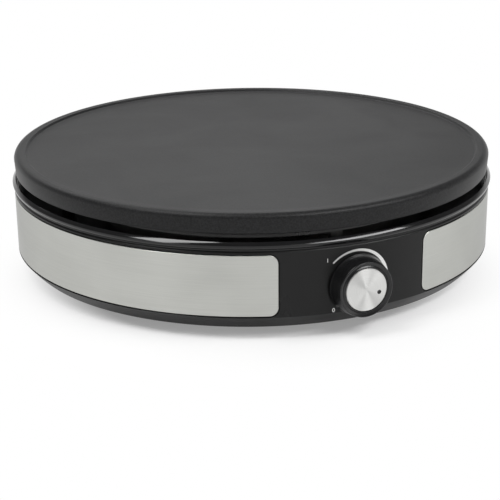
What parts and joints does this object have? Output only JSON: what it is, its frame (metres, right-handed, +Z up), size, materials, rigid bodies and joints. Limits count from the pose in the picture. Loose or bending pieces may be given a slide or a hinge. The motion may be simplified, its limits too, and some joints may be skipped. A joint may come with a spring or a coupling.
{
  "type": "electric crepe maker",
  "caption": "Round countertop crepe maker: a wide coated cooking plate on a low black housing with wrapped steel side panels and a rotary heat knob.",
  "frame": {"origin": "on the axis of the round body, at the surface that the feet stand on", "axes": "+Z up along the body's axis; -Y towards the front, where the knob is; +Y towards the rear, where the cord enters"},
  "size_m": [0.3236, 0.3413, 0.0791],
  "materials": {
    "coated_casting": "satin",
    "gloss_housing": "gloss",
    "satin_housing": "satin",
    "brushed_steel": "satin",
    "cover_plastic": "matte",
    "foot_rubber": "matte",
    "zinc_steel": "satin",
    "element_steel": "satin",
    "pan_steel": "satin",
    "stat_resin": "matte",
    "copper_capillary": "satin",
    "block_ceramic": "matte",
    "contact_brass": "satin",
    "lead_live": "matte",
    "lead_neutral": "matte",
    "lead_earth": "matte",
    "fuse_sleeve": "matte",
    "gland_plastic": "matte",
    "knob_plastic": "satin",
    "spun_aluminium": "satin",
    "spring_steel": "satin"
  },
  "bodies": {
    "base": {"cooking_plate": "coated_casting", "upper_housing": "gloss_housing", "body_shell": "satin_housing", "left_panel": "brushed_steel", "right_panel": "brushed_steel", "base_cover": "cover_plastic", "rubber_feet": "foot_rubber", "base_screws": "zinc_steel", "plate_screws": "zinc_steel", "bracket_screws": "zinc_steel", "plate_posts": "zinc_steel", "gland_nut": "zinc_steel", "heating_element": "element_steel", "sensor_bulb": "element_steel", "bulb_clip": "element_steel", "heat_reflector": "pan_steel", "thermostat_bracket": "pan_steel", "thermostat_body": "stat_resin", "capillary_tube": "copper_capillary", "terminal_block": "block_ceramic", "terminal_contacts": "contact_brass", "live_lead": "lead_live", "heater_lead": "lead_live", "neutral_lead": "lead_neutral", "earth_lead": "lead_earth", "thermal_fuse": "fuse_sleeve", "cord_gland": "gland_plastic"},
    "knob": {"knob_body": "knob_plastic", "knob_cap": "spun_aluminium", "knob_spring": "spring_steel", "thermostat_shaft": "pan_steel"}
  },
  "joints": [
    {"name": "knob_turn", "type": "hinge", "parent": "base", "child": "knob", "pos_m": [0, -0.161, 0.03055], "axis": [0, -1, 0], "range_deg": [-28, 242]}
  ]
}
